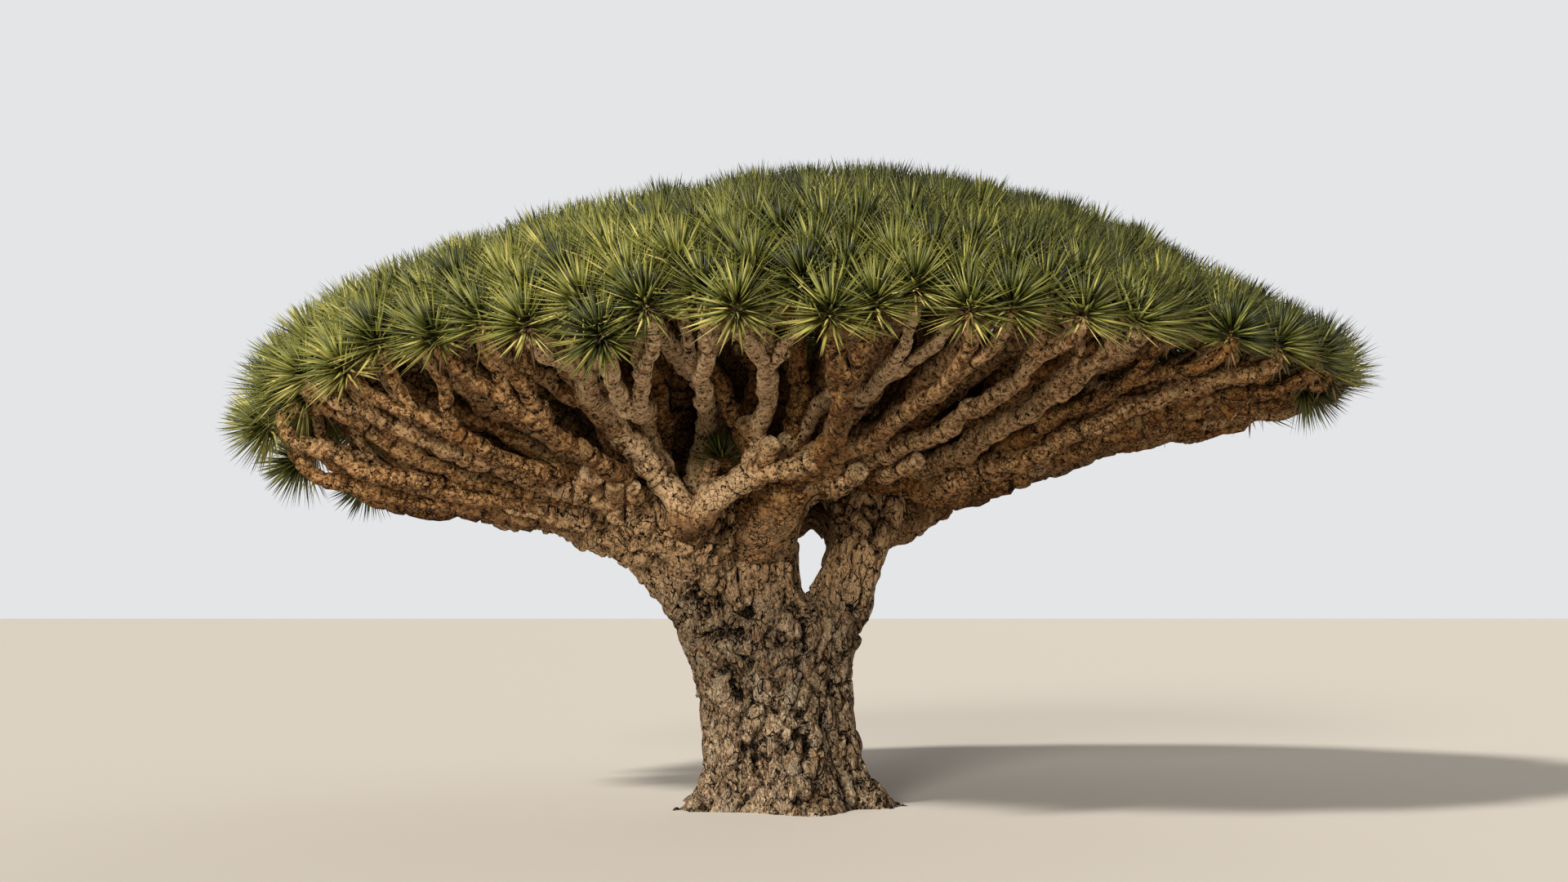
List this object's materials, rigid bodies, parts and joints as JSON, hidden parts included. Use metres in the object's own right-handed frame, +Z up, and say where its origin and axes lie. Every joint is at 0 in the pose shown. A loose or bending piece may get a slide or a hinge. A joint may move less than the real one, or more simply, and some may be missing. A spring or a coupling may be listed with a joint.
{
  "type": "dragon blood tree",
  "caption": "Old dragon blood tree: a stout forked trunk, boughs spread like umbrella ribs, and a dense domed crown of stiff sword leaves, fixed in level ground.",
  "frame": {"origin": "centre of the flat cut under the trunk, at ground level", "axes": "+Z up the tree, +X to the right seen from the pictured side, which faces -Y"},
  "size_m": [8.8925, 8.6681, 4.9617],
  "materials": {
    "trunk_bark": "very rough grey-brown bark with plates, cracks and pits",
    "limb_bark": "matt tan bark with ring swellings and orange-brown stains",
    "foliage": "satin deep green sword leaves, yellow-green where lit"
  },
  "bodies": {
    "root": {"bough_1": "limb_bark", "bough_2": "limb_bark", "bough_3": "limb_bark", "bough_4": "limb_bark", "bough_5": "limb_bark", "bough_6": "limb_bark", "bough_centre": "limb_bark", "foliage_rim_01": "foliage", "foliage_rim_02": "foliage", "foliage_rim_03": "foliage", "foliage_rim_04": "foliage", "foliage_rim_05": "foliage", "foliage_rim_06": "foliage", "foliage_rim_07": "foliage", "foliage_rim_08": "foliage", "foliage_rim_09": "foliage", "foliage_rim_10": "foliage", "foliage_rim_11": "foliage", "foliage_rim_12": "foliage", "foliage_shoulder_01": "foliage", "foliage_shoulder_02": "foliage", "foliage_shoulder_03": "foliage", "foliage_shoulder_04": "foliage", "foliage_shoulder_05": "foliage", "foliage_shoulder_06": "foliage", "foliage_top_01": "foliage", "foliage_top_02": "foliage", "foliage_top_03": "foliage", "inner_tuft": "foliage", "limb_rim_01": "limb_bark", "limb_rim_02": "limb_bark", "limb_rim_03": "limb_bark", "limb_rim_04": "limb_bark", "limb_rim_05": "limb_bark", "limb_rim_06": "limb_bark", "limb_rim_07": "limb_bark", "limb_rim_08": "limb_bark", "limb_rim_09": "limb_bark", "limb_rim_10": "limb_bark", "limb_rim_11": "limb_bark", "limb_rim_12": "limb_bark", "limb_shoulder_01": "limb_bark", "limb_shoulder_02": "limb_bark", "limb_shoulder_03": "limb_bark", "limb_shoulder_04": "limb_bark", "limb_shoulder_05": "limb_bark", "limb_shoulder_06": "limb_bark", "limb_top_01": "limb_bark", "limb_top_02": "limb_bark", "limb_top_03": "limb_bark", "stem_right": "trunk_bark", "trunk": "trunk_bark"}
  },
  "joints": []
}
